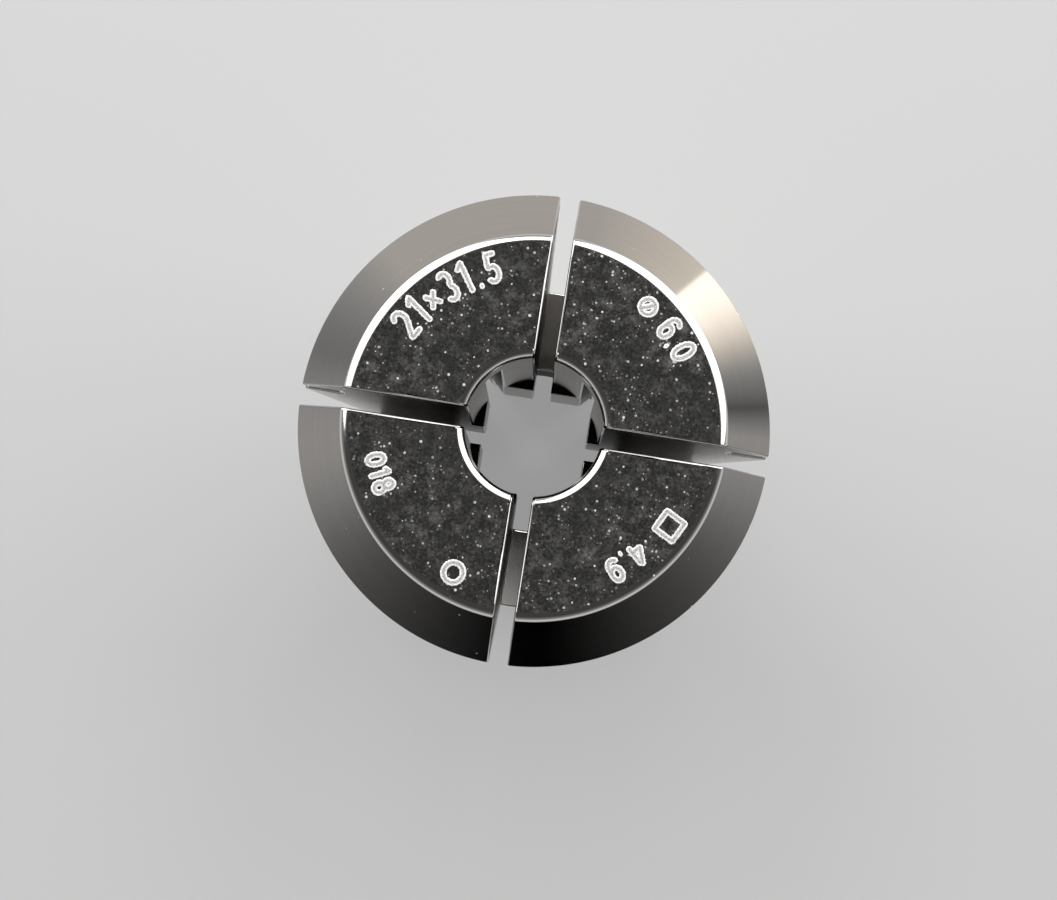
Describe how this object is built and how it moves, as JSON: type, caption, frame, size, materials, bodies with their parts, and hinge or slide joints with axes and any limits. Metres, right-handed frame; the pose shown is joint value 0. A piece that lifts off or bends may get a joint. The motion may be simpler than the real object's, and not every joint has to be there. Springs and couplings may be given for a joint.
{
  "type": "er collet",
  "caption": "Slit spring collet with a slim taper, extraction groove and steep nose, bored for a round shank with a drive square behind.",
  "frame": {"origin": "centre of the small rear face, on which the collet stands", "axes": "+Z along the collet's axis and out of the nose; the nose slots lie in the XZ and YZ planes"},
  "size_m": [0.021, 0.021, 0.0315],
  "materials": {
    "steel": "hardened spring steel, ground cones and bore, polished face"
  },
  "bodies": {
    "root": {"collet": "steel"}
  },
  "joints": []
}
